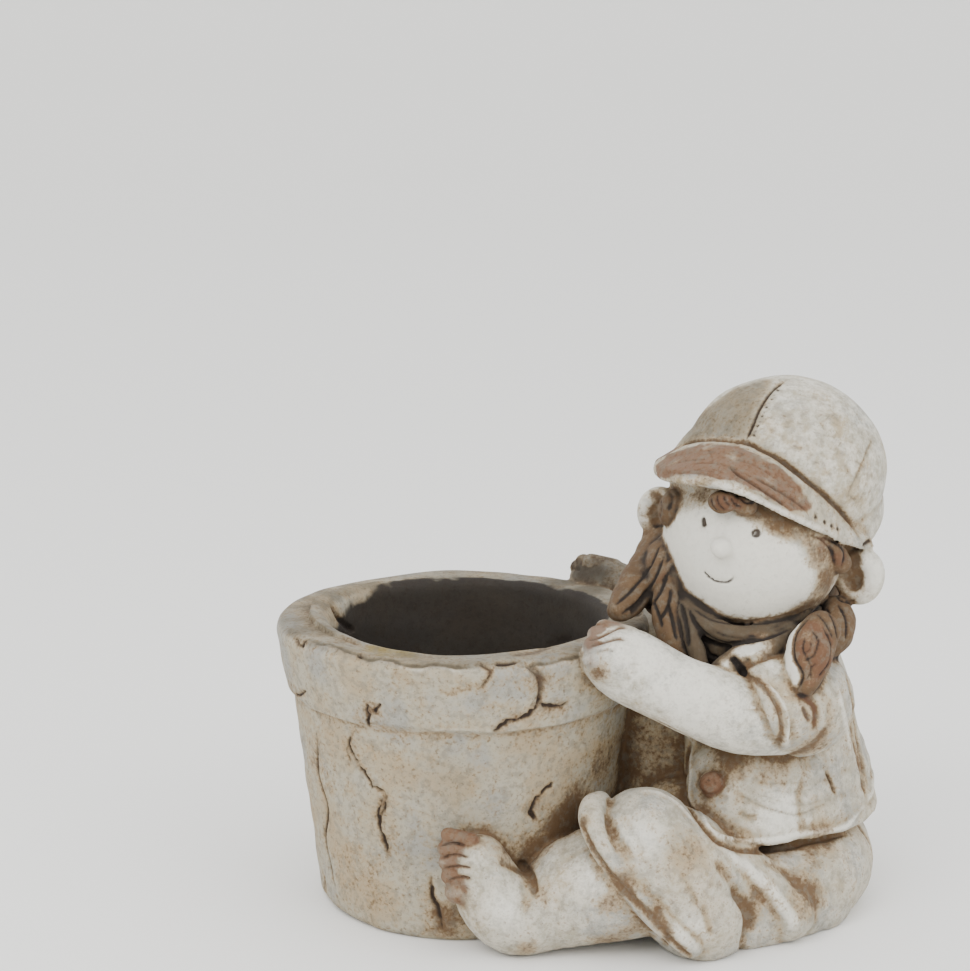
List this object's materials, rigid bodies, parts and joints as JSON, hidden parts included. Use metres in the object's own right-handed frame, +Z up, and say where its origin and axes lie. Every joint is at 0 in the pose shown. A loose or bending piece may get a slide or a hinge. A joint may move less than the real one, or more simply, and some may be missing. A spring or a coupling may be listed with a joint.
{
  "type": "garden planter statue",
  "caption": "Cast garden planter: a seated child in a peaked cap hugs a thick-rimmed open flowerpot.",
  "frame": {"origin": "on the ground, under the middle of the whole piece's box", "axes": "+Z up, +X from the pot towards the child's back, the child's turned face looks to -Y and -X"},
  "size_m": [0.3894, 0.2798, 0.3429],
  "materials": {
    "cast_cement": "matte, antique washed"
  },
  "bodies": {
    "root": {"child_with_flowerpot": "cast_cement"}
  },
  "joints": []
}
